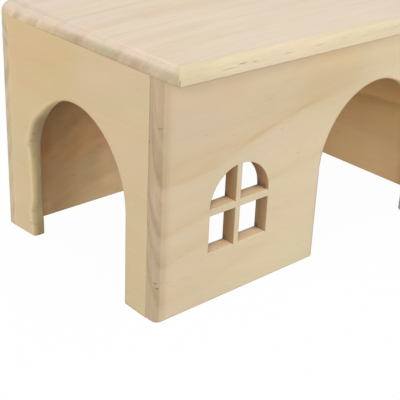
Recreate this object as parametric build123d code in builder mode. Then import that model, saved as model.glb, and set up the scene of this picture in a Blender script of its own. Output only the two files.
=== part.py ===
"""Wooden hamster house: four pine walls and a flat pine roof, glued up on hidden beech dowels.

The front and back walls run the full length and cover the edges of the two end walls. The front wall
has an arched doorway and an arched window with four panes, the left end wall has a second doorway,
and the house is open underneath. Millimetres, +Z up, +Y to the back. The origin is on the floor, at
the middle of the roof's outline.
"""
from build123d import *
import os

# Overall sizes
house_length = 250.0  # walls and roof, left end to right end
house_depth = 144.5  # outside of the front wall to outside of the back wall
wall_height = 131.0  # floor to the underside of the roof
wall_thickness = 8.5
roof_thickness = 8.5
roof_overhang = 12.5  # roof in front of the front wall

# Roundings
corner_round = 4.0  # upright outer corners of the house
roof_edge_round = 4.8  # upper edges of the roof
roof_front_corner_round = 0.8  # upright front corners of the roof
doorway_round = 3.5  # outer edge of each doorway
doorway_inside_round = 2.0  # its inner edge
pane_round = 0.6  # outer edge of each window pane
foot_round = 0.7  # edges of the walls' feet
eased_edge = 0.3  # other sanded arrises of the boards

# Front doorway: straight sides up to the springing, then a half circle
front_door_width = 91.0
front_door_springing = 54.0
front_door_to_right_end = 40.0

# Left doorway, in the middle of the house's depth
side_door_width = 88.5
side_door_springing = 53.0

# Window in the front wall, with a cross of bars left standing in the board
window_width = 41.5
window_to_left_end = 34.5
window_sill_height = 29.5
window_springing = 55.0  # floor to the start of the round head
window_bar_width = 4.0
window_left_pane = 17.5  # width of the panes left of the upright bar

# Fluted dowels
dowel_diameter = 4.0
dowel_length = 16.0
dowel_in_face = 5.0  # length of dowel in the board whose face is drilled
dowel_chamfer = 0.5
dowel_side_clearance = 0.05
dowel_end_clearance = 0.5
flute_count = 8
flute_radius = 0.25
corner_dowel_count = 3  # up each corner
corner_dowel_end_distance = 20.0  # from the floor, and from the roof
long_wall_dowel_count = 3  # roof to the front wall, and to the back wall
long_wall_dowel_end_distance = 30.0
end_wall_dowel_count = 2  # roof to each end wall
end_wall_dowel_end_distance = 36.0

# Places that follow from the sizes
left_end = -house_length / 2
right_end = house_length / 2
roof_depth = house_depth + roof_overhang
roof_front = -roof_depth / 2
back_outside = roof_depth / 2
front_outside = roof_front + roof_overhang
front_inside = front_outside + wall_thickness
back_inside = back_outside - wall_thickness
house_middle = (front_outside + back_outside) / 2
end_wall_depth = back_inside - front_inside

front_door_radius = front_door_width / 2
front_door_middle = right_end - front_door_to_right_end - front_door_radius
front_door_top = front_door_springing + front_door_radius
side_door_radius = side_door_width / 2
side_door_top = side_door_springing + side_door_radius

window_radius = window_width / 2
window_left = left_end + window_to_left_end
window_middle = window_left + window_radius
window_top = window_springing + window_radius
upright_bar_middle = window_left + window_left_pane + window_bar_width / 2
cross_bar_middle = window_springing - window_bar_width / 2

dowel_hole_radius = dowel_diameter / 2 + dowel_side_clearance
face_hole_depth = dowel_in_face + dowel_end_clearance
edge_hole_depth = dowel_length - dowel_in_face + dowel_end_clearance
tolerance = 0.01  # for finding edges and faces by their place

left_wall_line = left_end + wall_thickness / 2
right_wall_line = right_end - wall_thickness / 2
front_wall_line = front_outside + wall_thickness / 2
back_wall_line = back_outside - wall_thickness / 2


def evenly_spaced(low, high, end_distance, count):
    """Places between low and high, the outer two at a distance from the ends; one alone is in the middle."""
    if count == 1:
        return [(low + high) / 2]
    first = low + end_distance
    step = (high - end_distance - first) / (count - 1)
    return [first + step * i for i in range(count)]


corner_dowel_heights = evenly_spaced(0, wall_height, corner_dowel_end_distance, corner_dowel_count)
long_wall_dowel_places = evenly_spaced(
    left_end, right_end, long_wall_dowel_end_distance, long_wall_dowel_count
)
end_wall_dowel_places = evenly_spaced(
    front_outside, back_outside, end_wall_dowel_end_distance, end_wall_dowel_count
)


def dowel_holes(mouths, outward, depth):
    """Drill blind holes into the open part; outward is the direction from each hole to its mouth."""
    with Locations(*[Plane(origin=mouth, z_dir=outward) for mouth in mouths]):
        Hole(radius=dowel_hole_radius, depth=depth)


def doorway_sketch(width, springing):
    """Doorway outline in the open sketch, its middle at the sketch's origin and its foot on the floor."""
    Rectangle(width, springing, align=(Align.CENTER, Align.MIN))
    with Locations((0, springing)):
        Circle(width / 2)


def opening_edges(face, axis, low, high, bottom, top):
    """Edges of an opening in a face: their middles lie from low to high along the axis, and bottom to top."""
    edges = face.edges().filter_by_position(axis, low - tolerance, high + tolerance)
    return edges.filter_by_position(Axis.Z, bottom - tolerance, top + tolerance)


def board_arrises(board, inside_face):
    """Edges round the inside face and the top of a wall."""
    return inside_face.edges() + board.faces().sort_by(Axis.Z)[-1].edges()


def foot_edges(board):
    """Edges round the feet of a wall."""
    return board.faces().group_by(Axis.Z)[0].edges()


def finish(board, name):
    """Name a piece and write it."""
    board.part.label = name
    export_step(board.part, f"parts/{name}.step")


os.makedirs("parts", exist_ok=True)

# Where the dowels stand, taken at the joint faces
corner_places = {
    "front_left": (left_wall_line, front_inside),
    "front_right": (right_wall_line, front_inside),
    "back_left": (left_wall_line, back_inside),
    "back_right": (right_wall_line, back_inside),
}
corner_mouths = {
    corner: [(x, y, height) for height in corner_dowel_heights] for corner, (x, y) in corner_places.items()
}
roof_mouths = {
    "front": [(place, front_wall_line, wall_height) for place in long_wall_dowel_places],
    "back": [(place, back_wall_line, wall_height) for place in long_wall_dowel_places],
    "left": [(left_wall_line, place, wall_height) for place in end_wall_dowel_places],
    "right": [(right_wall_line, place, wall_height) for place in end_wall_dowel_places],
}
forward = (0, -1, 0)
backward = (0, 1, 0)
upward = (0, 0, 1)
downward = (0, 0, -1)

# Front wall
front_plane = Plane(origin=(0, front_outside, 0), x_dir=(1, 0, 0), z_dir=forward)
with BuildPart() as front_wall:
    with BuildSketch(front_plane):
        Rectangle(house_length, wall_height, align=(Align.CENTER, Align.MIN))
    extrude(amount=-wall_thickness)
    fillet(front_wall.edges().filter_by(Axis.Z).group_by(Axis.Y)[0], corner_round)
    with BuildSketch(front_plane):
        with Locations((front_door_middle, 0)):
            doorway_sketch(front_door_width, front_door_springing)
        with Locations((window_middle, window_sill_height)):
            Rectangle(window_width, window_springing - window_sill_height, align=(Align.CENTER, Align.MIN))
        with Locations((window_middle, window_springing)):
            Circle(window_radius)
        with Locations((upright_bar_middle, window_sill_height)):
            bar_height = window_top - window_sill_height
            Rectangle(window_bar_width, bar_height, align=(Align.CENTER, Align.MIN), mode=Mode.SUBTRACT)
        with Locations((window_middle, cross_bar_middle)):
            Rectangle(window_width, window_bar_width, mode=Mode.SUBTRACT)
    extrude(amount=-wall_thickness, mode=Mode.SUBTRACT)
    door_left = front_door_middle - front_door_radius
    door_right = front_door_middle + front_door_radius
    outside_face = front_wall.faces().sort_by(Axis.Y)[0]
    fillet(opening_edges(outside_face, Axis.X, door_left, door_right, 0, front_door_top), doorway_round)
    inside_face = front_wall.faces().sort_by(Axis.Y)[-1]
    fillet(opening_edges(inside_face, Axis.X, door_left, door_right, 0, front_door_top), doorway_inside_round)
    fillet(foot_edges(front_wall), foot_round)
    outside_face = front_wall.faces().sort_by(Axis.Y)[0]
    pane_edges = opening_edges(
        outside_face, Axis.X, window_left, window_left + window_width, window_sill_height, window_top
    )
    fillet(pane_edges, pane_round)
    inside_face = front_wall.faces().sort_by(Axis.Y)[-1]
    fillet(board_arrises(front_wall, inside_face), eased_edge)
    dowel_holes(corner_mouths["front_left"] + corner_mouths["front_right"], backward, face_hole_depth)
    dowel_holes(roof_mouths["front"], upward, edge_hole_depth)
finish(front_wall, "front_wall")

# Back wall
with BuildPart() as back_wall:
    with BuildSketch(Plane(origin=(0, back_outside, 0), x_dir=(-1, 0, 0), z_dir=backward)):
        Rectangle(house_length, wall_height, align=(Align.CENTER, Align.MIN))
    extrude(amount=-wall_thickness)
    fillet(back_wall.edges().filter_by(Axis.Z).group_by(Axis.Y)[-1], corner_round)
    fillet(foot_edges(back_wall), foot_round)
    fillet(board_arrises(back_wall, back_wall.faces().sort_by(Axis.Y)[0]), eased_edge)
    dowel_holes(corner_mouths["back_left"] + corner_mouths["back_right"], forward, face_hole_depth)
    dowel_holes(roof_mouths["back"], upward, edge_hole_depth)
finish(back_wall, "back_wall")

# Left end wall, with the second doorway
left_plane = Plane(origin=(left_end, house_middle, 0), x_dir=(0, -1, 0), z_dir=(-1, 0, 0))
with BuildPart() as left_wall:
    with BuildSketch(left_plane):
        Rectangle(end_wall_depth, wall_height, align=(Align.CENTER, Align.MIN))
    extrude(amount=-wall_thickness)
    with BuildSketch(left_plane):
        doorway_sketch(side_door_width, side_door_springing)
    extrude(amount=-wall_thickness, mode=Mode.SUBTRACT)
    door_front = house_middle - side_door_radius
    door_back = house_middle + side_door_radius
    outside_face = left_wall.faces().sort_by(Axis.X)[0]
    fillet(opening_edges(outside_face, Axis.Y, door_front, door_back, 0, side_door_top), doorway_round)
    inside_face = left_wall.faces().sort_by(Axis.X)[-1]
    fillet(opening_edges(inside_face, Axis.Y, door_front, door_back, 0, side_door_top), doorway_inside_round)
    fillet(foot_edges(left_wall), foot_round)
    inside_face = left_wall.faces().sort_by(Axis.X)[-1]
    outside_uprights = left_wall.faces().sort_by(Axis.X)[0].edges().filter_by(Axis.Z).sort_by(Axis.Y)
    end_arrises = ShapeList([outside_uprights[0], outside_uprights[-1]])
    fillet(board_arrises(left_wall, inside_face) + end_arrises, eased_edge)
    dowel_holes(corner_mouths["front_left"], forward, edge_hole_depth)
    dowel_holes(corner_mouths["back_left"], backward, edge_hole_depth)
    dowel_holes(roof_mouths["left"], upward, edge_hole_depth)
finish(left_wall, "left_wall")

# Right end wall, a plain board
with BuildPart() as right_wall:
    with BuildSketch(Plane(origin=(right_end, house_middle, 0), x_dir=(0, 1, 0), z_dir=(1, 0, 0))):
        Rectangle(end_wall_depth, wall_height, align=(Align.CENTER, Align.MIN))
    extrude(amount=-wall_thickness)
    fillet(foot_edges(right_wall), foot_round)
    arrises = board_arrises(right_wall, right_wall.faces().sort_by(Axis.X)[0])
    fillet(arrises + right_wall.faces().sort_by(Axis.X)[-1].edges(), eased_edge)
    dowel_holes(corner_mouths["front_right"], forward, edge_hole_depth)
    dowel_holes(corner_mouths["back_right"], backward, edge_hole_depth)
    dowel_holes(roof_mouths["right"], upward, edge_hole_depth)
finish(right_wall, "right_wall")

# Roof
with BuildPart() as roof:
    with BuildSketch(Plane.XY.offset(wall_height)):
        Rectangle(house_length, roof_depth)
    extrude(amount=roof_thickness)
    roof_uprights = roof.edges().filter_by(Axis.Z).group_by(Axis.Y)
    fillet(roof_uprights[0], roof_front_corner_round)
    fillet(roof_uprights[-1], corner_round)
    fillet(roof.faces().sort_by(Axis.Z)[-1].edges(), roof_edge_round)
    fillet(roof.faces().sort_by(Axis.Z)[0].edges(), eased_edge)
    every_roof_mouth = [mouth for mouths in roof_mouths.values() for mouth in mouths]
    dowel_holes(every_roof_mouth, downward, face_hole_depth)
finish(roof, "roof")


def beech_dowel(name, mouth, into_edge):
    """Fluted dowel through a joint at mouth; into_edge points into the board drilled in its edge."""
    foot = Plane(origin=mouth, z_dir=into_edge).offset(-dowel_in_face)
    with BuildPart() as dowel:
        with BuildSketch(foot):
            Circle(dowel_diameter / 2)
        extrude(amount=dowel_length)
        chamfer(dowel.edges().filter_by(GeomType.CIRCLE), dowel_chamfer)
        with BuildSketch(foot):
            with PolarLocations(dowel_diameter / 2, flute_count):
                Circle(flute_radius)
        extrude(amount=dowel_length, mode=Mode.SUBTRACT)
    finish(dowel, name)


for corner, mouths in corner_mouths.items():
    direction = backward if corner.startswith("front") else forward
    for number, mouth in enumerate(mouths, start=1):
        beech_dowel(f"{corner}_dowel_{number}", mouth, direction)

for side, mouths in roof_mouths.items():
    for number, mouth in enumerate(mouths, start=1):
        beech_dowel(f"roof_{side}_dowel_{number}", mouth, downward)
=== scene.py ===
"""Wooden hamster house: sanded pine boards glued up on beech dowels, on a pale studio floor."""

import math
import bpy
from mathutils import Euler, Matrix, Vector


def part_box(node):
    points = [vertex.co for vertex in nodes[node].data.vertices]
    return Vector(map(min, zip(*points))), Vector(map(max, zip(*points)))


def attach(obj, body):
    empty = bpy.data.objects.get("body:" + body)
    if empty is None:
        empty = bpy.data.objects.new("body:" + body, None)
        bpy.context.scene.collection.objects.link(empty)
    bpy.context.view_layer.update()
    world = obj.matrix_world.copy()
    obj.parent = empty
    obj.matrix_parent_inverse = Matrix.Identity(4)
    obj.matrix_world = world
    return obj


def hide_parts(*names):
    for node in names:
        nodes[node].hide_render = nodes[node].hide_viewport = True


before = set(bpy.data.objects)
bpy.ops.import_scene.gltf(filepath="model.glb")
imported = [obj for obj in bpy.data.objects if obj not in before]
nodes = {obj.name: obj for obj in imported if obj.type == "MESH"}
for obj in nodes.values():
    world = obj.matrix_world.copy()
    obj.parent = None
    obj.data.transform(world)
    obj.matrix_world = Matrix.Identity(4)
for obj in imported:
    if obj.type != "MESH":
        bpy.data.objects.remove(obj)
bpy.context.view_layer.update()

# ---- Sizes, in metres. The wood patterns use millimetres ----
MILLIMETRES = 1000.0
front_low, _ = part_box("front_wall")
left_low, left_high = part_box("left_wall")
_, right_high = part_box("right_wall")
_, back_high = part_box("back_wall")
roof_low, roof_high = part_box("roof")
house_middle = (roof_high + front_low) / 2
NEAR = 1e-5
SMOOTH_ANGLE = math.radians(35)

# The roof's round-overs at its corners, its upright corners and its eased lower arris, in metres
ROUND_OVER = {"front_left": 0.0052, "back_left": 0.0080, "front_right": 0.0048, "back_right": 0.0052}
FRONT_CORNER = 0.0008
BACK_CORNER = 0.0040
EASED_EDGE = 0.0003
ROUND_STEPS = 9
CORNER_STEPS = 6

# The left doorway, and how far hand sanding rounded its edges, by height
SIDE_DOOR_WIDTH = 0.0885
SIDE_DOOR_SPRINGING = 0.053
ARCH_STEPS = 24
CUT_BEYOND = 0.01
WIDEST_ROUND = 0.0052
OUTER_BACK_ROUND = [
    (0.0, 0.0034), (0.012, 0.0038), (0.025, 0.0050), (0.053, 0.0048), (0.064, 0.0052), (0.080, 0.0044),
    (0.098, 0.0034),
]
OUTER_FRONT_ROUND = [(0.0, 0.0036), (0.053, 0.0032), (0.078, 0.0020), (0.090, 0.0024), (0.098, 0.0034)]
INNER_BACK_ROUND = [
    (0.0, 0.0006), (0.014, 0.0014), (0.028, 0.0024), (0.050, 0.0026), (0.066, 0.0018), (0.098, 0.0012),
]
INNER_FRONT_ROUND = [(0.0, 0.0012), (0.098, 0.0012)]

# How far the back jamb's outer edge stands forward of the doorway's outline, by height, and its worn foot
OUTER_BACK_BULGE = [
    (0.0, 0.0022), (0.006, 0.0027), (0.012, 0.0010), (0.017, 0.0000), (0.021, 0.0016), (0.025, 0.0033),
    (0.028, 0.0034), (0.032, 0.0028), (0.038, 0.0034), (0.044, 0.0026), (0.050, 0.0026), (0.053, 0.0018),
    (0.057, 0.0004), (0.0625, -0.0010), (0.069, -0.0009), (0.076, -0.0009), (0.085, -0.0003), (0.098, 0.0),
]
WORN_FOOT = 0.0016
FOOT_ROUND = 0.0007
JAMB_CUTS = [
    0.003, 0.006, 0.009, 0.012, 0.0145, 0.017, 0.019, 0.021, 0.024, 0.028, 0.032, 0.036, 0.040, 0.044, 0.0485,
]


def millimetres(length):
    """A length in metres as millimetres."""
    return length * MILLIMETRES


# ---- Camera ----
def make_camera():
    """Three-quarter view from the front left and above."""
    data = bpy.data.cameras.new("camera")
    data.lens = 82.98
    data.sensor_width = 36.0
    data.shift_y = -0.1055
    data.clip_start = 0.01
    camera = bpy.data.objects.new("camera", data)
    camera.location = (-0.3784, -0.3730, 0.2655)
    turn = (66.626, -2.337, -41.264)
    camera.rotation_euler = Euler([math.radians(degrees) for degrees in turn])
    bpy.context.scene.collection.objects.link(camera)
    bpy.context.scene.camera = camera


# ---- Node trees, written as expressions ----
def display(red, green, blue):
    """A colour given as it looks on a screen, 0 to 255, as the linear colour that shaders take."""
    linear = []
    for channel in (red, green, blue):
        c = channel / 255
        linear.append(c / 12.92 if c <= 0.04045 else ((c + 0.055) / 1.055) ** 2.4)
    return (*linear, 1.0)


class Output:
    """What a node gives. Numbers can be added, subtracted, multiplied and divided like plain ones."""

    def __init__(self, graph, socket):
        self.graph = graph
        self.socket = socket

    def __add__(self, other):
        return self.graph.math("ADD", self, other)

    def __radd__(self, other):
        return self.graph.math("ADD", other, self)

    def __sub__(self, other):
        return self.graph.math("SUBTRACT", self, other)

    def __rsub__(self, other):
        return self.graph.math("SUBTRACT", other, self)

    def __mul__(self, other):
        return self.graph.math("MULTIPLY", self, other)

    def __truediv__(self, number):
        return self.graph.math("MULTIPLY", self, 1 / number)

    def __abs__(self):
        return self.graph.math("ABSOLUTE", self)


class Graph:
    """The node tree of a material or world. Its methods add nodes and return what they give."""

    def __init__(self, owner):
        self.owner = owner
        owner.use_nodes = True
        self.tree = owner.node_tree
        self.tree.nodes.clear()

    def add(self, kind, **settings):
        node = self.tree.nodes.new(kind)
        for name, value in settings.items():
            setattr(node, name, value)
        return node

    def out(self, node, which=0):
        return Output(self, node.outputs[which])

    def put(self, socket, value):
        """Link an output to a socket, or write a plain value on it."""
        if isinstance(value, Output):
            self.tree.links.new(value.socket, socket)
        else:
            socket.default_value = value

    def math(self, operation, *values):
        node = self.add("ShaderNodeMath", operation=operation)
        for socket, value in zip(node.inputs, values):
            self.put(socket, value)
        return self.out(node)

    def point(self, x, y, z):
        node = self.add("ShaderNodeCombineXYZ")
        for socket, value in zip(node.inputs, (x, y, z)):
            self.put(socket, value)
        return self.out(node)

    def split(self, vector):
        node = self.add("ShaderNodeSeparateXYZ")
        self.put(node.inputs[0], vector)
        return [self.out(node, which) for which in range(3)]

    def scaled(self, vector, x, y, z):
        node = self.add("ShaderNodeVectorMath", operation="MULTIPLY")
        self.put(node.inputs[0], vector)
        node.inputs[1].default_value = (x, y, z)
        return self.out(node)

    def noise(self, vector, detail=2.0, roughness=0.5):
        """Noise from about -0.5 to 0.5, one wave per unit of the vector."""
        node = self.add("ShaderNodeTexNoise")
        self.put(node.inputs["Vector"], vector)
        node.inputs["Scale"].default_value = 1.0
        node.inputs["Detail"].default_value = detail
        node.inputs["Roughness"].default_value = roughness
        return self.out(node, "Fac") - 0.5

    def cells(self, vector):
        """Distance to the nearest of scattered points, about one in a unit cell, and that point's colour."""
        node = self.add("ShaderNodeTexVoronoi")
        self.put(node.inputs["Vector"], vector)
        node.inputs["Scale"].default_value = 1.0
        return self.out(node, "Distance"), self.out(node, "Color")

    def curve(self, value, points):
        """A smooth curve through points (x, y), level beyond the first and the last."""
        low, high = points[0][0], points[-1][0]
        bottom, top = min(y for _, y in points), max(y for _, y in points)
        inside = self.ramp(value, low, high)
        node = self.add("ShaderNodeFloatCurve")
        line = node.mapping.curves[0]
        for index, (x, y) in enumerate(points):
            place = ((x - low) / (high - low), (y - bottom) / (top - bottom))
            if index < 2:
                line.points[index].location = place
            else:
                line.points.new(*place)
        node.mapping.update()
        self.put(node.inputs["Value"], inside)
        return self.out(node) * (top - bottom) + bottom

    def ramp(self, value, low, high, to_low=0.0, to_high=1.0, smooth=False):
        """A value from low to high turned into one from to_low to to_high, level beyond."""
        node = self.add("ShaderNodeMapRange", clamp=True)
        node.interpolation_type = "SMOOTHSTEP" if smooth else "LINEAR"
        for name, number in (("From Min", low), ("From Max", high), ("To Min", to_low), ("To Max", to_high)):
            self.put(node.inputs[name], number)
        self.put(node.inputs["Value"], value)
        return self.out(node)

    def mix(self, share, a, b, blend="MIX"):
        """Colour a turning into colour b as share goes from 0 to 1. The node keeps its colours in sockets 6
        and 7, and gives the mixed one in output 2."""
        node = self.add("ShaderNodeMix", data_type="RGBA", blend_type=blend)
        self.put(node.inputs[0], share)
        self.put(node.inputs[6], a)
        self.put(node.inputs[7], b)
        return self.out(node, 2)

    def finish(self, colour, roughness, height, bump_distance):
        """Plain shader with this colour, this roughness and a bump of this distance in millimetres."""
        shader = self.add("ShaderNodeBsdfPrincipled")
        shader.inputs["Specular IOR Level"].default_value = 0.2
        self.put(shader.inputs["Base Color"], colour)
        self.put(shader.inputs["Roughness"], roughness)
        bump = self.add("ShaderNodeBump")
        bump.inputs["Strength"].default_value = 1.0
        bump.inputs["Distance"].default_value = bump_distance / MILLIMETRES
        self.put(bump.inputs["Height"], height)
        self.put(shader.inputs["Normal"], self.out(bump))
        self.put(self.add("ShaderNodeOutputMaterial").inputs["Surface"], self.out(shader))
        return self.owner

    def mix_shaders(self, share, a, b):
        """Shader a turning into shader b as share goes from 0 to 1."""
        node = self.add("ShaderNodeMixShader")
        for socket, value in zip(node.inputs, (share, self.out(a), self.out(b))):
            self.put(socket, value)
        return self.out(node)


def within(share, tone):
    """The tone where the share is 1, and no change where it is 0."""
    return 1.0 + share * (tone - 1.0)


# ---- Pine ----
# Late wood above a ring's edge, by height over the ring's width. A hard ring starts at once and fades
# upwards, a blurred one starts less sharply, and a soft one swells and fades on both sides.
HARD = [(-0.12, 0.0), (0.0, 0.12), (0.05, 0.9), (0.14, 1.0), (0.4, 0.55), (0.72, 0.18), (1.0, 0.0)]
BLURRED = [(-0.3, 0.0), (0.0, 0.45), (0.16, 1.0), (0.4, 0.65), (0.75, 0.2), (1.0, 0.0)]
SOFT = [(-0.5, 0.0), (0.0, 0.55), (0.35, 1.0), (0.9, 0.4), (1.6, 0.0)]


class Board(Graph):
    """A pine board in its own directions, in millimetres: along the fibres, across them in the face, in
    depth, and into the board from its outer face."""

    def __init__(self, name, directions, outer_face, seed, end_grain=(0.40, 0.92)):
        super().__init__(bpy.data.materials.new(name))
        coordinates = self.out(self.add("ShaderNodeTexCoord"), "Object")
        place = self.split(self.scaled(coordinates, MILLIMETRES, MILLIMETRES, MILLIMETRES))
        self.along, self.across, self.depth = (place["XYZ".index(d)] for d in directions)
        self.into = abs(self.depth - millimetres(outer_face))
        self.normal = self.split(self.out(self.add("ShaderNodeNewGeometry"), "Normal"))
        self.turned = abs(self.normal["XYZ".index(directions[0])])
        self.end_grain = self.ramp(self.turned, *end_grain, smooth=True)
        self.fibre_line = self.across
        self.seed = seed

    def lean(self, climb, share):
        """Let the fibres climb along the board by one curve, times a share that depends on the height."""
        self.fibre_line = self.across - self.follow(climb) * self.curve(self.across, share)

    def grain(self, length, width, thickness=None, offset=0.0):
        """Point for a pattern whose cells are this long along the fibres and this wide across them."""
        shifted = self.along + offset + self.seed
        point = self.point(shifted, self.fibre_line, self.depth)
        return self.scaled(point, 1 / length, 1 / width, 1 / (thickness or width))

    def follow(self, points):
        """A value that changes along the fibres, or stays the same if it has one point."""
        return points[0][1] if len(points) == 1 else self.curve(self.along, points)

    def late_wood(self, level, rings):
        """How far pale early wood has turned to honey late wood, 0 to 1. A ring is its lower edge and its
        strength, both along the fibres, the width over which it fades, and how it fades."""
        ripple = self.noise(self.grain(30, 7, 7), detail=3) * 3.0
        fray = self.noise(self.grain(9, 1.3, 1.3, 40), detail=2) * 2.6
        broken = self.ramp(self.noise(self.grain(26, 4, 4, 60), detail=3), -0.16, 0.12, 0.5, 1.0)
        level = level + ripple + fray
        late = 0.0
        for edge, strength, width, shade in rings:
            above = (level - self.follow(edge)) / width
            late = self.math("MAXIMUM", late, self.curve(above, shade) * self.follow(strength))
        return late * broken

    def patch(self, along, across, soft, strength=1.0):
        """A strength inside a stretch of the face and 0 outside it, with soft edges."""
        share = strength
        for value, (low, high) in ((self.along, along), (self.across, across)):
            rise = self.ramp(value, low - soft, low + soft, smooth=True)
            fall = self.ramp(value, high - soft, high + soft, 1.0, 0.0, smooth=True)
            share = rise * fall * share
        return share

    def stretch(self, low, high, soft):
        """1 between two places along the fibres and 0 beyond them, with soft edges."""
        rise = self.ramp(self.along, low - soft, low + soft)
        return rise * self.ramp(self.along, high - soft, high + soft, 1.0, 0.0)

    def painted_shade_and_chips(self, places):
        """Dark spots for painted shade in corners and for chips, 0 to 1: place along, across and into the
        board, radius and strength.
        """
        dark = 0.0
        for along, across, into, radius, strength in places:
            aside = (self.along - along) / radius
            above = (self.across - across) / radius
            inside = (self.into - into) / radius
            distance = self.math("SQRT", aside * aside + above * above + inside * inside)
            dark = self.math("MAXIMUM", dark, self.ramp(distance, 0.1, 1.0, strength, 0.0, smooth=True))
        return dark

    def painted_foot_shade(self):
        """Painted shade darkens the lowest millimetre of a wall, where it meets the floor."""
        return self.ramp(self.across, 0.3, 1.1, 0.76, 1.0)

    def marks(self, places, upward=None, sideways=None):
        """Small dark marks, 0 to 1: place along and across, length, height and strength. They lie along and
        across the fibres, or along other directions."""
        dark = 0.0
        for along, across, length, height, strength in places:
            aside = ((sideways or self.along) - along) * (2 / length)
            above = ((upward or self.across) - across) * (2 / height)
            distance = self.math("SQRT", aside * aside + above * above)
            dark = self.math("MAXIMUM", dark, self.ramp(distance, 0.2, 1.0, strength, 0.0, smooth=True))
        return dark


def pine(board, rings, level, light, honey, warm, end_light, end_dark, hue, pinker=(), yellower=(), tone=None,
         end_shade=None, areas=(), marks=None, routed=None, fibres=1.0, figure=1.0):
    """Sanded pine: growth rings, fibres, resin canals, drifting tone and hue, and darker end grain."""
    late = board.late_wood(level, rings)

    # Slow drift of tone, drawn out along the fibres
    drift = board.ramp(board.noise(board.grain(95, 30, 30, 700), detail=3), -0.22, 0.22)
    blotch = board.noise(board.grain(42, 15, 15, 900), detail=3)

    # Fibres, thin streaks and short dark resin canals
    fibre = board.noise(board.grain(30, 0.55, 0.55, 1500), detail=4, roughness=0.62)
    strand = board.noise(board.grain(64, 2.6, 2.6, 1900), detail=4, roughness=0.6)
    streak = board.ramp(board.noise(board.grain(26, 0.9, 0.9, 2100), detail=3), 0.09, 0.24)
    near, which = board.cells(board.grain(9.0, 1.7, 1.7, 2300))
    chosen = board.math("GREATER_THAN", board.split(which)[0], 0.86)
    canal = board.ramp(near, 0.05, 0.2, 1.0, 0.0, smooth=True) * chosen

    long_grain = board.mix(late, light, honey)
    for share, colour in areas:
        long_grain = board.mix(share, long_grain, colour)
    long_grain = board.mix(drift * 0.5, long_grain, warm)
    long_tone = (
        1.0 + fibre * (0.085 * fibres) + strand * (0.13 * fibres)
        + blotch * 0.07 - streak * (0.035 * fibres) - canal * 0.13
    )
    if marks is not None:
        long_tone = long_tone * (1.0 - marks)

    # End grain drinks light: darker, in bands that follow the rings, with fine pores and specks
    bands = board.noise(board.point(level / 9.0, board.seed, 0.0), detail=2)
    _, block = board.cells(board.point(level / 6.5, board.along * 0.1, board.seed))
    block_tone, block_hue, _ = board.split(block)
    pores = board.noise(board.grain(6, 0.28, 0.28, 2700), detail=2, roughness=0.7)
    grime = board.noise(board.grain(8, 2.6, 1.5, 2900), detail=3)
    dot, kind = board.cells(board.grain(3, 1.3, 1.3, 3100))
    chosen = board.math("GREATER_THAN", board.split(kind)[1], 0.86)
    speck = board.ramp(dot, 0.10, 0.22, 1.0, 0.0, smooth=True) * chosen
    end_share = board.ramp(late * 0.8 + bands, -0.2, 0.75)
    end_wood = board.mix(end_share, end_light, end_dark)
    end_tone = (
        1.0 - 0.035 * figure + block_tone * (0.07 * figure) + pores * 0.12
        + grime * (0.16 * figure) + blotch * 0.12 - speck * 0.16
    )
    if end_shade is not None:
        end_tone = end_tone * end_shade
    wood = board.mix(board.end_grain, long_grain, end_wood)
    shade = long_tone * (1.0 - board.end_grain) + end_tone * board.end_grain
    # Routed end grain is darker, partly its own colour and partly painted shade inside the cuts
    if routed is not None:
        share, routed_dark, olive = routed
        streaks = board.noise(board.point(level / 6.0, board.seed, board.across * 0.02), detail=3)
        streaked = board.mix(board.ramp(streaks, -0.16, 0.16), routed_dark, olive)
        wood = board.mix(board.end_grain * share, wood, streaked)
    if tone is not None:
        shade = shade * tone

    # Pinker and greener, yellower and greyer wood
    pink = board.noise(board.grain(60, 20, 20, 3500), detail=5) * hue
    yellow = board.noise(board.grain(52, 17, 17, 4100), detail=5) * (hue * 1.6)
    block_pink = (block_hue - 0.5) * board.end_grain * (0.022 * figure)
    pink = sum(pinker, pink + block_pink)
    yellow = sum(yellower, yellow)
    tint = board.point(1.0 + pink, 1.0 - pink * 0.5, 1.0 + pink - yellow)
    colour = board.mix(1.0, wood, board.point(shade, shade, shade), blend="MULTIPLY")
    colour = board.mix(1.0, colour, tint, blend="MULTIPLY")

    rough = 0.58 + fibre * 0.18 - late * 0.06 + board.end_grain * 0.14
    height = (
        fibre * 0.35 + strand * 0.25 + late * 0.2 - canal * 0.6
        - streak * 0.2 + (pores - speck * 0.8) * board.end_grain * 0.8
    )
    return board.finish(colour, rough, height, bump_distance=0.12)


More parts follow.
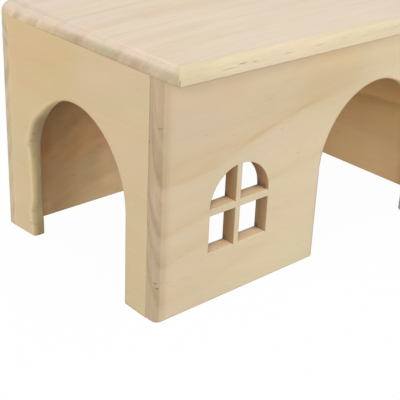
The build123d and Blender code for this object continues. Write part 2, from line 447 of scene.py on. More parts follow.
def front_wall_pine():
    """Fibres along the length. Broad rings lie nearly flat in the face and climb to the right."""
    board = Board("pine_front", "XZY", front_low.y, seed=0.0, end_grain=(0.06, 0.55))
    board.lean(
        [(-125, -1.5), (-100, 0), (-60, 4.5), (-20, 11), (10, 14), (125, 18)],
        [(0, -0.9), (42, -0.8), (60, 0), (84, 0.9), (110, 0.6), (131, 0)],
    )
    # The rounded corner cuts the fibres at an angle, so end grain shows a little way into the face
    # Its darker colour there is also painted shade, which takes the highlight off the corner
    corner = board.ramp(board.along, -122.5, -117.0, 0.48, 0.0, smooth=True)
    board.end_grain = board.math("MAXIMUM", board.end_grain, corner)

    # The rings stand up steeply behind the face, and above the main ring they run nearly parallel to it
    low_rise = board.curve(board.into, [(0, 0), (0.4, 0.6), (2.9, 7.6), (6.1, 15.6), (8.5, 26)])
    high_rise = board.curve(board.into, [
        (0, 0), (0.75, 2.5), (4.1, 13.5), (6.1, 26.5), (6.8, 52), (8.5, 100),
    ])
    high = board.ramp(board.across, 68, 98, smooth=True)
    level = board.across - low_rise - high * (high_rise - low_rise)
    main_ring = [
        (-125, 74.5), (-95, 75.5), (-78, 81.5), (-55, 88.6), (-42, 91.5), (-21, 97), (3, 101), (60, 107),
        (125, 109),
    ]
    main_strength = [(-125, 0.66), (-85, 0.66), (-60, 0.62), (-25, 0.6), (0, 0.4), (30, 0.15), (125, 0.3)]
    rings = [
        ([(-109, 89), (-91, 88), (-81, 93), (-71, 99), (-55, 105), (-41, 112), (-33, 119), (125, 150)],
         [(-125, 0.2), (-50, 0.28), (-30, 0.15), (125, 0.2)], 4, SOFT),
        (main_ring, main_strength, 28, HARD),
        (main_ring, [(-88, 0.0), (-72, 0.8), (-20, 1.0), (-2, 0.7), (12, 0.0)], 4, SOFT),
        ([(-125, 47), (-101, 51.4), (-93, 53), (-47, 60), (-11, 64), (125, 78)],
         [(-125, 0.55), (-90, 0.55), (-45, 0.42), (-5, 0.3), (60, 0.2)], 10, BLURRED),
        ([(-125, 30.5), (-107, 34.5), (-47, 38), (0, 43), (125, 52)],
         [(-125, 0.4), (-95, 0.4), (-40, 0.16), (-10, 0.1), (90, 0.2)], 11, BLURRED),
        ([(-125, 8.6), (-91, 11), (-69, 17), (-30, 22), (125, 34)],
         [(-125, 0.5), (-80, 0.5), (-40, 0.1), (90, 0.2)], 10, BLURRED),
    ]
    honey = display(206, 175, 128)
    areas = [
        (board.patch((-28, 18), (100, 150), 12, 0.5), honey),
        (board.patch((-86, -68), (112, 124), 6, 0.3), display(214, 180, 140)),
        (board.patch((-150, -118), (4, 150), 4, 0.4), display(198, 172, 140)),
    ]
    darker_left = board.follow([
        (-125, 0.945), (-108, 0.945), (-94, 0.95), (-82, 0.972), (-50, 1.0), (0, 1.03), (40, 1.052),
        (125, 1.052),
    ])
    darker_top = board.curve(board.across, [
        (0, 1.03), (12, 1.03), (24, 1.005), (70, 0.998), (105, 0.975), (113, 0.985), (120, 1.02),
        (131, 1.025),
    ])

    # Painted light brightens the panes' sills, which face up, and painted shade darkens their far edges. The
    # painted shade on their jambs is darkest two thirds of the way in, and deepest in their corners.
    sill = board.ramp(board.normal[2], 0.5, 1.0)
    in_window = board.stretch(-95, -47, 1.0)
    door_side = board.stretch(-20, 118, 2.0)
    pane_jamb = board.end_grain * in_window
    deep = pane_jamb * board.ramp(board.into, 2.0, 6.0)
    left_panes = board.ramp(board.along, -75, -68, 1.0, 0.0)
    upper_right = board.ramp(board.across, 44, 52) * (1.0 - left_panes)
    painted_jamb_shading = board.curve(board.into, [(0.5, 1.2), (2, 1.12), (4, 0.97), (6, 0.86), (8.5, 0.9)])
    painted_far_edge_shade = sill * board.ramp(board.into, 7.0, 8.3, 0.0, 0.35)
    painted_shade_and_chips = board.painted_shade_and_chips([
        (-49, 55, 8.5, 6.0, 0.6), (-49, 56, 3.0, 3.0, 0.4), (-49, 51, 2.0, 4.0, 0.35),
        (-73, 55, 8.5, 4.5, 0.5), (-73, 30, 8.5, 4.5, 0.4), (-49, 30, 7.5, 4.0, 0.45),
        (-73, 78, 7.0, 4.0, 0.2),
    ])
    painted_shade_and_chips = painted_shade_and_chips * board.ramp(board.into, 0.6, 1.2)
    painted_window_shade = within(pane_jamb, painted_jamb_shading) * (1.0 - painted_far_edge_shade) * (1.0 - painted_shade_and_chips)
    marks = board.marks([
        (-27, 71, 6, 1.7, 0.15), (-43, 67.4, 5, 1.4, 0.08), (-21, 71, 5, 1.4, 0.07), (-33, 43, 9, 1.6, 0.06),
        (-85, 88, 5, 1.5, 0.07), (-66, 100, 6, 1.5, 0.07), (-52, 107, 6, 1.4, 0.07),
    ])

    # Scars on the rounded corner, and a dark joint with the left wall
    scars = board.marks([
        (-123.7, 106.8, 3.4, 0.9, 0.35), (-124.4, 23.3, 1.8, 1.3, 0.6), (-123.6, 20.4, 2.2, 1.2, 0.6),
        (-122.2, 23.2, 2.6, 0.8, 0.14), (-119.8, 32.6, 7, 0.9, 0.12), (-115.2, 32.6, 6, 0.8, 0.12),
        (-109.8, 34.3, 7, 0.8, 0.1), (-117.3, 22.2, 8, 0.9, 0.12), (-113.9, 18.9, 2, 3, 0.08),
    ])
    scars = scars * board.ramp(board.into, 1.8, 3.6, 1.0, 0.0)
    joint = (
        board.ramp(board.into, 7.4, 8.3, 0.0, 0.2) * board.ramp(board.across, 70, 86)
        * board.ramp(board.normal[0], -0.5, -0.9)
    )
    chip = board.painted_shade_and_chips([(-125, 98.5, 8.3, 1.0, 0.5)])

    # Painted highlight on the round-over at the right of the doorway's arch, and painted light on what faces
    # right in the doorway
    painted_crown_highlight = board.patch((50, 95), (56, 100), 7) * board.ramp(board.normal[1], -0.98, -0.75, 0.0, 0.5)
    painted_light_facing_right = door_side * board.ramp(board.normal[0], 0.1, 0.6, 0.0, 0.4)
    return pine(
        board, rings, level, hue=0.09, fibres=0.64, figure=0.8, areas=areas, marks=marks,
        routed=(in_window * 0.85 + door_side * 0.15, display(154, 116, 78), display(142, 122, 84)),
        pinker=(
            board.curve(board.across, [(0, -0.02), (25, -0.014), (60, -0.006), (85, 0.0), (120, 0.006)]),
            board.follow([(-125, 0.018), (-108, 0.022), (-96, 0.02), (-85, 0.008), (-60, 0.0)]),
            board.patch((-30, 2), (-9, 16), 5, -0.03),
            sill * 0.045, deep * (0.03 + left_panes * 0.12 + upper_right * 0.11),
        ),
        yellower=(
            board.curve(board.across, [(0, -0.012), (25, -0.008), (60, 0.0), (90, 0.018), (130, 0.026)]),
            sill * 0.09, deep * left_panes * 0.36,
        ),
        tone=(
            darker_left * darker_top * (1.0 + sill * 0.4) * painted_window_shade * board.painted_foot_shade()
            * (1.0 - scars) * (1.0 - joint) * (1.0 - chip) * (1.0 + painted_crown_highlight) * (1.0 + painted_light_facing_right)
            * (1.0 + board.patch((30, 150), (94, 150), 12, 0.05))
            * (1.0 + board.patch((-28, 18), (115, 150), 6, 0.07))
        ),
        # Painted shade on the rounded corner, darkest where it turns partly sideways, takes its highlight
        # away
        end_shade=board.curve(board.turned, [(0.06, 0.97), (0.3, 0.885), (0.75, 0.885), (0.96, 1.0)]),
        light=display(217, 200, 170), honey=honey, warm=display(214, 193, 158),
        end_light=display(197, 175, 144), end_dark=display(166, 144, 112),
    )


def roof_pine():
    """Fibres along the length. The rings slant through the thickness and run as faint lines along the top."""
    board = Board("pine_roof", "XYZ", roof_high.z, seed=137.0, end_grain=(0.76, 0.995))
    climb = [(-125, 0), (-100, 4.4), (-80, 7.4), (-55, 10), (-20, 12.4), (60, 15), (125, 16)]
    board.lean(climb, [(-80, 1.0), (0, 0.95), (80, 1.0)])
    up = board.depth - millimetres(roof_low.z)
    level = board.across - board.into * 0.8
    rings = []
    for start, strength, width, shade in (
        (52, 0.45, 16, HARD), (34, 0.4, 3, SOFT), (15, 0.5, 12, HARD), (-7.5, 0.7, 20, HARD),
        (-22, 0.4, 3, SOFT), (-38.6, 0.5, 12, HARD), (-50, 0.35, 3, SOFT), (-58.5, 0.5, 10, HARD),
    ):
        edge = [(x, start + rise) for x, rise in climb]
        rings.append((edge, [(-125, strength), (0, strength * 0.9), (60, strength * 0.5)], width, shade))

    # The long front edge is creamier, and has small cracks where the router left it
    front_edge = board.ramp(board.across, -77, -71, 1.0, 0.0, smooth=True)
    cracks = board.marks([
        (-95, 3.6, 12, 1.0, 0.26), (-86, 4.6, 9, 1.0, 0.4), (-78, 4.2, 6, 0.9, 0.3), (-55, 4.4, 8, 0.8, 0.26),
        (-32, 4.8, 11, 0.9, 0.22), (-13, 5.2, 8, 0.8, 0.18), (3, 4.2, 11, 0.8, 0.14), (30, 4.9, 9, 0.8, 0.12),
    ], upward=up)
    edge_low = board.ramp(up, 0.0, 3.0, 1.0, 0.0, smooth=True)
    edge_left = board.ramp(board.along, -118, -92, 1.0, 0.0, smooth=True)
    edge_shade = front_edge * (0.012 + edge_left * 0.06 + edge_low * 0.03)

    # The end grain is darker along the joint with the left wall
    joint = board.ramp(up, 0.0, 1.0, 1.0, 0.0) * board.ramp(board.across, 34, 42, 1.0, 0.0)
    joint = joint * board.end_grain
    # Painted shade on the long grain of the round-overs takes their highlight away
    painted_round_over_shade = within(1.0 - board.end_grain, board.curve(
        board.turned, [(0.0, 1.0), (0.14, 1.0), (0.3, 0.975), (0.5, 0.92), (0.75, 0.905), (1.0, 0.925)],
    ))

    # A crack and a brown streak slant up the left end, and specks lie along its lower edge
    beside_crack = abs(board.across + 15.33 + up * 1.07)
    beside_streak = abs(board.across - 30.76 + up * 1.96)
    specks = board.marks([
        (-24, 0.9, 4, 0.8, 0.2), (-29, 0.7, 5, 0.9, 0.2), (-33, 1.2, 3, 0.8, 0.16), (-57, 1.2, 4, 0.9, 0.2),
    ], upward=up, sideways=board.across)
    crack = board.ramp(beside_crack, 0.15, 0.6, 0.13, 0.0)
    brown = board.ramp(beside_streak, 0.3, 2.6, 0.09, 0.0, smooth=True)
    scars = board.end_grain * (crack + brown + specks)
    end_pink = board.curve(board.across, [
        (-78, -0.002), (-64, -0.004), (-56, 0.016), (-42, 0.01), (-33, -0.018), (-22, -0.02), (-14, 0.016),
        (16, 0.018), (26, 0.0), (78, 0.0),
    ])
    end_tone = board.curve(board.across, [
        (-78, 0.97), (-40, 0.985), (0, 1.0), (12, 1.03), (24, 1.12), (40, 1.17), (60, 1.2), (78, 1.2),
    ])
    honey = display(216, 190, 158)
    areas = [
        (board.patch((-84, -14), (-1, 17), 6, 0.5), display(218, 192, 162)),
        (front_edge * 0.8, display(223, 202, 168)),
    ]
    return pine(
        board, rings, level, hue=0.09, areas=areas, fibres=1.5, figure=1.7,
        marks=cracks * front_edge,
        pinker=(
            board.follow([(-125, 0.0), (-100, -0.003), (-60, -0.008), (-20, -0.013), (40, -0.01)]),
            front_edge * -0.02, board.end_grain * end_pink,
        ),
        yellower=(board.follow([(-110, 0.006), (-60, -0.012), (0, -0.018), (60, -0.01)]),),
        tone=(
            board.follow([(-125, 1.0), (-80, 1.013), (-60, 1.025), (-20, 1.03), (20, 1.025), (60, 1.0)])
            * (1.0 - joint * 0.2) * (1.0 - edge_shade) * painted_round_over_shade * (1.0 - scars)
        ),
        end_shade=end_tone * board.curve(up, [(0, 0.95), (3, 0.985), (6, 1.04)]),
        # The roof's long-grain colours are paler and greyer than the walls': partly its own wood and partly
        # painted sheen and light on its top
        light=display(226, 208, 188), honey=honey, warm=display(223, 202, 177),
        end_light=display(206, 186, 156), end_dark=display(176, 153, 123),
    )


def left_wall_pine():
    """Fibres along the depth of the house. Even wood, more honey towards the back of the top."""
    board = Board("pine_left_end", "YZX", left_low.x, seed=250.0)
    board.lean([(-66, 0), (78, -24)], [(88, 0.0), (112, 0.8), (131, 1.0)])
    level = board.across - board.into * 1.6
    rings = [
        ([(-66, 131), (-32, 128), (2, 121), (36, 112), (78, 104)],
         [(-66, 0.1), (0, 0.3), (70, 0.3)], 12, BLURRED),
        ([(-66, 135), (-2, 125), (36, 120), (78, 113)],
         [(-10, 0.0), (0, 0.5), (34, 0.5), (44, 0.1)], 2.5, SOFT),
        ([(-66, 101), (10, 97), (78, 92)], [(-66, 0.05), (20, 0.3), (78, 0.35)], 22, BLURRED),
        ([(-66, 64), (78, 65)], [(-66, 0.3), (78, 0.35)], 26, BLURRED),
        ([(-66, 30), (78, 34)], [(-66, 0.22), (78, 0.26)], 20, BLURRED),
        ([(-66, 5), (78, 8)], [(0, 0.25)], 16, BLURRED),
    ]
    honey = display(211, 180, 133)
    areas = [(board.patch((6, 150), (93, 150), 11, 0.6), honey)]

    # Painted light and shade on the sanded rim of the doorway: darkest at the shoulder of the arch, where it
    # faces down, and lighter below and at the top
    rim = board.ramp(abs(board.normal[0]), 0.95, 0.6)
    painted_rim_shading = board.curve(board.across, [
        (5, 1.08), (24, 1.18), (38, 1.22), (48, 1.12), (57, 0.95), (65, 0.8), (72, 0.74), (78, 0.9),
        (86, 1.18), (97, 1.2),
    ])
    nicks = board.marks([
        (53.0, 59.4, 3.0, 5.0, 0.2), (51.6, 61.6, 3.4, 1.6, 0.2), (49.6, 66.4, 2.4, 2.2, 0.2),
        (46.2, 59.6, 2.4, 3.4, 0.18), (49.6, 53.0, 3.6, 2.4, 0.12), (49.4, 19.0, 2.6, 3.0, 0.16),
        (51.4, 17.0, 3.0, 1.6, 0.12), (51.6, 9.6, 3.4, 1.4, 0.3), (49.2, 8.8, 3.4, 1.3, 0.3),
        (47.4, 10.2, 2.0, 1.6, 0.2), (53.8, 69.2, 2.0, 4.0, 0.1),
    ])
    nicks = nicks * board.ramp(board.into, 2.2, 4.4, 1.0, 0.0)
    return pine(
        board, rings, level, hue=0.16, fibres=0.6, areas=areas,
        routed=(board.stretch(-50, 60, 2.0) * 0.85, display(176, 149, 115), display(168, 148, 112)),
        pinker=(
            board.curve(board.across, [(0, -0.02), (40, -0.012), (75, -0.007), (100, 0.0), (131, 0.005)]),
            rim * board.ramp(board.across, 40, 60, -0.035, -0.01),
        ),
        yellower=(
            board.curve(board.across, [(0, -0.028), (30, -0.008), (60, 0.01), (131, 0.0)]),
            board.follow([(-66, -0.01), (0, 0.0), (50, 0.02), (78, 0.025)]),
        ),
        tone=(
            board.follow([
                (-66, 0.968), (-30, 0.975), (0, 0.985), (30, 0.995), (64, 1.005), (73, 1.06), (78, 1.07),
            ])
            * board.curve(board.across, [(0, 1.025), (30, 1.005), (50, 1.0)])
            * within(rim, painted_rim_shading) * board.painted_foot_shade() * (1.0 - nicks)
        ),
        light=display(210, 188, 152), honey=honey, warm=display(211, 187, 148),
        end_light=display(188, 167, 134), end_dark=display(162, 140, 108),
    )


def right_wall_pine():
    """The inner face is honey wood with a dark ring line at mid height. Painted bounce light deepens its
    colour, most towards the top, and painted light and shade lie on it by place. The outer face is pale."""
    board = Board("pine_right_end", "YZX", right_high.x, seed=530.0)
    board.lean([(-66, 0), (78, -10)], [(0, 1.0), (60, 0.8), (131, 1.0)])
    level = board.across - board.into * 1.4
    rings = [
        ([(-66, 118), (78, 104)], [(-66, 0.4), (78, 0.5)], 10, BLURRED),
        ([(-66, 104), (78, 92)], [(-66, 0.4), (78, 0.5)], 12, BLURRED),
        ([(-66, 70), (-26, 69), (5, 66), (78, 60)], [(-66, 0.4), (-10, 0.5), (20, 0.3), (78, 0.2)], 14, HARD),
        ([(-66, 40), (-20, 40), (10, 36), (78, 28)], [(-66, 0.3), (5, 0.45), (78, 0.3)], 16, BLURRED),
        ([(-66, 12), (78, 8)], [(-66, 0.3), (78, 0.2)], 14, BLURRED),
    ]
    ring_line = [(-66, 60.0), (-27, 56.7), (-6, 55.4), (12, 54.0), (78, 46.0)]
    wander = board.noise(board.grain(20, 6, 6, 5200), detail=3) * 6.0
    above_line = board.across - board.follow(ring_line) + wander
    line = board.curve(above_line, [
        (-6.0, 0.0), (-3.0, -0.05), (-1.0, -0.11), (0.6, -0.06), (2.4, 0.1), (5.0, 0.06), (8.0, 0.0),
    ])
    line = line * board.follow([(-66, 0.5), (-30, 0.8), (-8, 1.0), (5, 1.3), (14, 1.0), (40, 0.6)])
    top = board.ramp(board.across, 24, 46, smooth=True)
    inner = board.ramp(board.into, 3.0, 6.0) * (1.0 - board.end_grain)
    # Painted light and shade on the inner face: lighter towards both ends, darker above mid height, times the
    # dark ring line
    inner_painted_light_and_tone = (
        board.follow([
            (-58, 1.26), (-32, 1.2), (-24, 1.06), (-16, 0.985), (-8, 0.975), (0, 1.0), (8, 1.07), (16, 1.16),
            (26, 1.22), (78, 1.22),
        ])
        * board.curve(board.across, [(6, 1.02), (24, 1.0), (36, 0.9), (60, 0.9), (131, 0.92)])
        * (1.0 + line)
    )
    # The inner colours are deepened by painted bounce light, most towards the top
    inner_light = board.mix(top, display(228, 196, 148), display(230, 190, 134))
    inner_honey = board.mix(top, display(212, 173, 118), display(213, 167, 107))
    inner_warm = board.mix(top, display(224, 190, 140), display(226, 184, 127))
    return pine(
        board, rings, level, hue=0.10, fibres=0.9,
        marks=board.marks([(23.2, 20.5, 2.4, 2.2, 0.2)]) * inner,
        yellower=(board.curve(board.across, [(55, 0.0), (66, 0.06), (125, 0.1)]) * inner,),
        tone=within(inner, inner_painted_light_and_tone) * board.painted_foot_shade(),
        light=board.mix(inner, display(212, 190, 154), inner_light),
        honey=board.mix(inner, display(210, 180, 134), inner_honey),
        warm=board.mix(inner, display(211, 187, 148), inner_warm),
        end_light=display(188, 167, 134), end_dark=display(162, 140, 108),
    )


def back_wall_pine():
    """Rings that climb to the right. The inner face is honey wood painted darker and deeper in colour for the
    shade and bounced light inside the house, and the outer one is pale.
    """
    board = Board("pine_back", "XZY", back_high.y, seed=410.0)
    climb = [(-125, -16), (-90, 0), (-70, 12), (-20, 22), (60, 26), (125, 22)]
    board.lean(climb, [(0, 0.55), (60, 0.6), (131, 0.5)])
    level = board.across - board.into * 2.0
    rings = []
    for start, strength, width in (
        (95, 0.5, 22), (68, 0.5, 18), (49, 0.6, 14), (33, 0.4, 12), (12, 0.5, 14), (-12, 0.5, 14),
    ):
        edge = [(x, start + rise) for x, rise in climb]
        rings.append((edge, [(-125, strength), (125, strength * 0.7)], width, BLURRED))
    inner = board.ramp(board.into, 4.5, 7.5) * (1.0 - board.end_grain)

    # Two dark lines slant down the upper part of the left end
    beside_upper = abs(board.across - 130.49 + board.into * 1.16)
    beside_lower = abs(board.across - 120.83 + board.into * 0.78)
    upper = board.ramp(beside_upper, 0.3, 2.6, 0.17, 0.0, smooth=True)
    lower = board.ramp(beside_lower, 0.3, 2.4, 0.15, 0.0, smooth=True)
    slants = board.end_grain * board.math("MAXIMUM", upper, lower)
    low = board.curve(board.across, [(10, 1.0), (28, 0.85), (46, 0.1), (75, 0.0), (131, 0.0)])
    blotches = board.noise(board.grain(26, 13, 13, 5600), detail=3)
    knotty = board.marks([
        (-80.5, 57, 9, 5, 0.14), (-63, 37.5, 9, 5, 0.13), (-82, 22.3, 9, 2.2, 0.12), (-89, 44, 9, 5, 0.1),
        (-92, 60, 8, 5, 0.1), (-66, 34, 4, 1.6, 0.13), (-77, 55, 5, 2, 0.1), (-96, 38, 8, 4, 0.08),
    ])
    # Painted light and shade on the inner face: lighter in the corner with the left wall and towards the
    # right, lighter at the foot, times blotches and patches of tone
    inner_painted_light_and_tone = (
        board.follow([
            (-116, 1.5), (-107, 1.28), (-102, 1.03), (-96, 0.89), (-90, 0.83), (-84, 0.84), (-78, 0.91),
            (-72, 0.97), (-66, 1.05), (-60, 1.15), (-54, 1.27), (-46, 1.33), (0, 1.4), (125, 1.45),
        ])
        * board.curve(board.across, [
            (6, 1.15), (14, 1.12), (24, 1.04), (36, 1.04), (46, 1.04), (58, 1.02), (66, 1.05), (131, 1.0),
        ])
        * (1.0 + blotches * 0.42)
        * (
            1.0 - board.patch((-104, -84), (46, 58), 5, 0.12)
            + board.patch((-76, -58), (36, 54), 6, 0.13)
            + board.patch((-63, -30), (8, 32), 6, 0.16)
            + board.patch((-115, -99), (-9, 9), 3, 0.25)
        )
    )
    areas = [
        (board.patch((-110, -98), (41, 60), 3.5, 0.75) * inner, display(186, 122, 84)),
        (board.patch((-100, -88), (14, 26), 5, 0.35) * inner, display(196, 146, 102)),
        (board.patch((-64, -30), (-5, 28), 7, 0.5) * inner, display(198, 172, 126)),
    ]
    # Painted light from the floor lightens the inner colours towards the foot, and painted shade darkens them
    # towards the top
    inner_light = board.mix(low, display(198, 158, 106), display(211, 180, 140))
    inner_honey = board.mix(low, display(178, 135, 84), display(193, 158, 116))
    return pine(
        board, rings, level, hue=0.16, fibres=0.85, areas=areas, marks=knotty * inner,
        pinker=(board.patch((-74, 125), (-5, 34), 6, -0.045) * inner,),
        yellower=(
            board.ramp(board.across, 40, 58) * inner * -0.1,
            board.ramp(board.along, -80, -56) * inner * -0.16,
        ),
        tone=within(inner, inner_painted_light_and_tone) * (1.0 - slants) * board.painted_foot_shade(),
        light=board.mix(inner, display(214, 192, 156), inner_light),
        honey=board.mix(inner, display(212, 182, 136), inner_honey),
        warm=board.mix(inner, display(212, 188, 150), display(192, 152, 104)),
        end_light=display(211, 194, 161), end_dark=display(180, 161, 127),
    )


def beech():
    """Turned and fluted beech, with short flecks."""
    graph = Graph(bpy.data.materials.new("beech_dowel"))
    coordinates = graph.out(graph.add("ShaderNodeTexCoord"), "Object")
    fleck = graph.noise(graph.scaled(coordinates, 900, 900, 900), detail=2)
    tone = graph.noise(graph.scaled(coordinates, 120, 120, 120), detail=3)
    share = graph.ramp(fleck + tone, -0.4, 0.4)
    colour = graph.mix(share, display(196, 160, 120), display(222, 190, 152))
    roughness = 0.6 + fleck * 0.2
    return graph.finish(colour, roughness, fleck, bump_distance=0.05)


def dress(node, material):
    """Give a CAD node its finish."""
    for slot in nodes[node].material_slots:
        slot.material = material


# ---- Boards shaped by hand ----
def add_block(name, low, high):
    """A block between two corners, with its place in its mesh."""
    bpy.ops.object.select_all(action="DESELECT")
    bpy.ops.mesh.primitive_cube_add(size=1.0, location=(low + high) / 2, scale=high - low)
    block = bpy.context.object
    block.name = name
    bpy.ops.object.transform_apply(location=True, rotation=True, scale=True)
    return block


def apply_modifier(board, kind, **settings):
    bpy.ops.object.modifier_add(type=kind)
    modifier = board.modifiers[0]
    for name, value in settings.items():
        setattr(modifier, name, value)
    bpy.ops.object.modifier_apply(modifier=modifier.name)


def put_in_place(board, node, finish):
    """Shade a shaped board, give it its finish and let it stand for its node."""
    bpy.ops.object.shade_smooth_by_angle(angle=SMOOTH_ANGLE)
    apply_modifier(board, "WEIGHTED_NORMAL", keep_sharp=True)
    board.data.materials.append(finish)
    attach(board, "root")
    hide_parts(node)


# ---- Roof board ----
def cut_off(place, outward):
    """Cut off what lies outside a plane through a place, and close the cut."""
    bpy.ops.mesh.select_all(action="SELECT")
    bpy.ops.mesh.bisect(plane_co=place, plane_no=outward, use_fill=True, clear_outer=True)


def round_over(turn, corner, inset, radius, lengthwise=Vector(), growth=0.0):
    """Sand a round-over on one side of the board, in small flats. The side faces the direction turn, seen
    from above, this far out from the corner. Its radius grows lengthwise by growth per metre."""
    level = Vector((math.cos(turn), math.sin(turn), 0.0))
    for step in range(1, ROUND_STEPS):
        lift = math.radians(90 * step / ROUND_STEPS)
        share = math.cos(lift) + math.sin(lift) - 1
        outward = level * math.cos(lift) + Vector((0.0, 0.0, math.sin(lift)))
        place = corner + level * inset - outward * (radius * share)
        cut_off(place, (outward + lengthwise * (growth * share)).normalized())


def sanded_roof(finish):
    """Roof board with its upper edges rounded over by hand, most of all at the back left corner."""
    board = add_block("roof_board", roof_low, roof_high)
    bpy.ops.object.mode_set(mode="EDIT")
    corners = {
        "front_left": Vector((roof_low.x, roof_low.y, roof_high.z)),
        "back_left": Vector((roof_low.x, roof_high.y, roof_high.z)),
        "front_right": Vector((roof_high.x, roof_low.y, roof_high.z)),
        "back_right": Vector((roof_high.x, roof_high.y, roof_high.z)),
    }

    # Upright corners, then the upper edge above each, turning from one side to the next
    for name, corner in corners.items():
        upright = BACK_CORNER if name.startswith("back") else FRONT_CORNER
        back = 1 if name.startswith("back") else -1
        right = 1 if name.endswith("right") else -1
        centre = corner - Vector((right * upright, back * upright, 0.0))
        for step in range(1, CORNER_STEPS):
            swing = math.radians(90 * step / CORNER_STEPS)
            turn = math.atan2(back * math.sin(swing), right * math.cos(swing))
            level = Vector((math.cos(turn), math.sin(turn), 0.0))
            cut_off(centre + level * upright, level)
            round_over(turn, centre, upright, ROUND_OVER[name])

    # The straight upper edges, on which the round-over changes from one corner to the next
    for turn, first, last in (
        (-math.pi / 2, "front_left", "front_right"), (math.pi / 2, "back_left", "back_right"),
        (math.pi, "front_left", "back_left"), (0.0, "front_right", "back_right"),
    ):
        side = corners[last] - corners[first]
        growth = (ROUND_OVER[last] - ROUND_OVER[first]) / side.length
        round_over(turn, corners[first], 0.0, ROUND_OVER[first], side.normalized(), growth)

    # The lower arris is only eased
    bpy.ops.mesh.select_all(action="DESELECT")
    bpy.ops.object.mode_set(mode="OBJECT")
    for edge in board.data.edges:
        edge.select = all(board.data.vertices[v].co.z < roof_low.z + NEAR for v in edge.vertices)
    bpy.ops.object.mode_set(mode="EDIT")
    bpy.ops.mesh.select_mode(type="EDGE")
    bpy.ops.mesh.bevel(offset=EASED_EDGE, segments=2, affect="EDGES")
    bpy.ops.mesh.select_all(action="SELECT")
    bpy.ops.mesh.normals_make_consistent(inside=False)
    bpy.ops.object.mode_set(mode="OBJECT")
    put_in_place(board, "roof", finish)


# ---- Left wall ----
def at_height(points, height):
    """The value at a height, on straight lines from one (height, value) to the next."""
    for (low, first), (high, second) in zip(points, points[1:]):
        if height <= high:
            return first + (second - first) * max(height - low, 0.0) / (high - low)
    return points[-1][1]


def doorway_cutter(low, high, middle):
    """Solid with the doorway's outline: a block whose two long upper edges are rounded into a half circle."""
    radius = SIDE_DOOR_WIDTH / 2
    top = SIDE_DOOR_SPRINGING + radius
    cutter = add_block(
        "doorway_cutter", Vector((low.x - CUT_BEYOND, middle - radius, -CUT_BEYOND)),
        Vector((high.x + CUT_BEYOND, middle + radius, top)),
    )
    bpy.ops.object.mode_set(mode="EDIT")
    bpy.ops.mesh.select_mode(type="EDGE")
    bpy.ops.mesh.select_all(action="DESELECT")
    bpy.ops.object.mode_set(mode="OBJECT")
    for edge in cutter.data.edges:
        ends = [cutter.data.vertices[v].co for v in edge.vertices]
        edge.select = all(end.z > 0 for end in ends) and abs(ends[0].y - ends[1].y) < NEAR
    bpy.ops.object.mode_set(mode="EDIT")
    bpy.ops.mesh.bevel(offset=radius, segments=ARCH_STEPS, affect="EDGES", clamp_overlap=False)
    bpy.ops.mesh.select_all(action="SELECT")
    bpy.ops.mesh.remove_doubles(threshold=NEAR)
    bpy.ops.mesh.normals_make_consistent(inside=False)
    bpy.ops.object.mode_set(mode="OBJECT")
    return cutter


def sanded_left_wall(finish):
    """Left wall board, with the edges of its doorway rounded over unevenly by hand."""
    low, high = left_low, left_high
    middle = (front_low.y + back_high.y) / 2
    cutter = doorway_cutter(low, high, middle)
    board = add_block("left_wall_board", low, high)
    apply_modifier(board, "BOOLEAN", object=cutter, solver="EXACT")
    bpy.data.objects.remove(cutter)

    # Cut the jambs across, and push the outer edge of the back jamb forward where sanding left it proud
    bpy.ops.object.mode_set(mode="EDIT")
    for height in JAMB_CUTS:
        bpy.ops.mesh.select_all(action="SELECT")
        bpy.ops.mesh.bisect(plane_co=(0.0, 0.0, height), plane_no=(0.0, 0.0, 1.0))
    bpy.ops.mesh.select_mode(type="VERT")
    bpy.ops.mesh.select_all(action="DESELECT")
    bpy.ops.object.mode_set(mode="OBJECT")
    outer_rim = []
    for vertex in board.data.vertices:
        on_face = abs(vertex.co.x - low.x) < NEAR and vertex.co.z < high.z - NEAR
        if on_face and middle < vertex.co.y < high.y - NEAR:
            outer_rim.append(vertex.index)
    for index in outer_rim:
        height = board.data.vertices[index].co.z
        board.data.vertices[index].select = True
        lift = WORN_FOOT if height < NEAR else 0.0
        bpy.ops.object.mode_set(mode="EDIT")
        bpy.ops.transform.translate(value=(0.0, -at_height(OUTER_BACK_BULGE, height), lift))
        bpy.ops.mesh.select_all(action="DESELECT")
        bpy.ops.object.mode_set(mode="OBJECT")

    # How much of the widest round-over each edge gets
    share = board.data.attributes.new("bevel_weight_edge", "FLOAT", "EDGE")
    for edge in board.data.edges:
        ends = [board.data.vertices[v].co for v in edge.vertices]
        place = (ends[0] + ends[1]) / 2
        outer = all(abs(end.x - low.x) < NEAR for end in ends)
        inner = all(abs(end.x - high.x) < NEAR for end in ends)
        level = abs(ends[0].z - ends[1].z) < NEAR
        if all(end.z < WORN_FOOT + NEAR for end in ends):
            radius = FOOT_ROUND if place.y > middle else 0.0
        elif level and place.z > high.z - NEAR:
            radius = EASED_EDGE
        elif (level and place.z < SIDE_DOOR_SPRINGING) or not (outer or inner):
            radius = 0.0
        elif min(place.y - low.y, high.y - place.y) < NEAR:
            radius = EASED_EDGE
        elif place.y > middle:
            radius = at_height(OUTER_BACK_ROUND if outer else INNER_BACK_ROUND, place.z)
        else:
            radius = at_height(OUTER_FRONT_ROUND if outer else INNER_FRONT_ROUND, place.z)
        share.data[edge.index].value = radius / WIDEST_ROUND
    apply_modifier(
        board, "BEVEL", limit_method="WEIGHT", width=WIDEST_ROUND, segments=6, use_clamp_overlap=False,
    )
    put_in_place(board, "left_wall", finish)


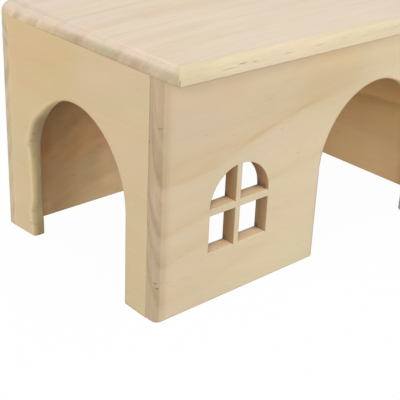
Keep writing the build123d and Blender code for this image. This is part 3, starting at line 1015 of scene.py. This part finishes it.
# ---- Studio ----
def make_floor():
    """Wide pale floor that still takes the soft shadow of the house."""
    bpy.ops.object.select_all(action="DESELECT")
    bpy.ops.mesh.primitive_plane_add(size=12.0, location=(0, 0, 0))
    floor = bpy.context.object
    floor.name = "studio_floor"
    graph = Graph(bpy.data.materials.new("studio_floor"))
    paper = graph.add("ShaderNodeBsdfDiffuse")
    paper.inputs["Color"].default_value = (0.85, 0.85, 0.85, 1.0)
    glow = graph.add("ShaderNodeEmission")
    seen = graph.out(graph.add("ShaderNodeLightPath"), "Is Camera Ray")
    mixed = graph.mix_shaders(seen * 0.975, paper, glow)
    graph.put(graph.add("ShaderNodeOutputMaterial").inputs["Surface"], mixed)
    floor.data.materials.append(graph.owner)


def make_world():
    """Even pale surroundings, white where the camera or gloss sees them."""
    graph = Graph(bpy.data.worlds.new("studio"))
    path = graph.add("ShaderNodeLightPath")
    seen = graph.math("MAXIMUM", graph.out(path, "Is Camera Ray"), graph.out(path, "Is Glossy Ray"))
    dim = graph.add("ShaderNodeBackground")
    white = graph.add("ShaderNodeBackground")
    for background, strength in ((dim, 0.5), (white, 1.0)):
        background.inputs["Color"].default_value = (1.0, 1.0, 1.0, 1.0)
        background.inputs["Strength"].default_value = strength
    mixed = graph.mix_shaders(seen, dim, white)
    graph.put(graph.add("ShaderNodeOutputWorld").inputs["Surface"], mixed)
    bpy.context.scene.world = graph.owner


def make_lamp(name, place, size, power):
    """Square soft lamp aimed at the middle of the house."""
    data = bpy.data.lights.new(name, "AREA")
    data.size = size
    data.energy = power
    lamp = bpy.data.objects.new(name, data)
    lamp.location = place
    aim = (house_middle - lamp.location).to_track_quat("-Z", "Y")
    lamp.rotation_euler = aim.to_euler()
    bpy.context.scene.collection.objects.link(lamp)


make_camera()
make_floor()
make_world()
make_lamp("key_lamp", (-2.0, -1.85, 1.12), size=1.5, power=41.0)
make_lamp("top_lamp", (-0.1, -0.3, 2.2), size=1.4, power=17.0)
bpy.context.scene.view_settings.view_transform = "Standard"

finishes = {
    "front_wall": front_wall_pine(), "roof": roof_pine(), "left_wall": left_wall_pine(),
    "right_wall": right_wall_pine(), "back_wall": back_wall_pine(),
}
for node, finish in finishes.items():
    dress(node, finish)
sanded_roof(finishes["roof"])
sanded_left_wall(finishes["left_wall"])
dowel_finish = beech()
for node in nodes:
    if "_dowel_" in node:
        dress(node, dowel_finish)
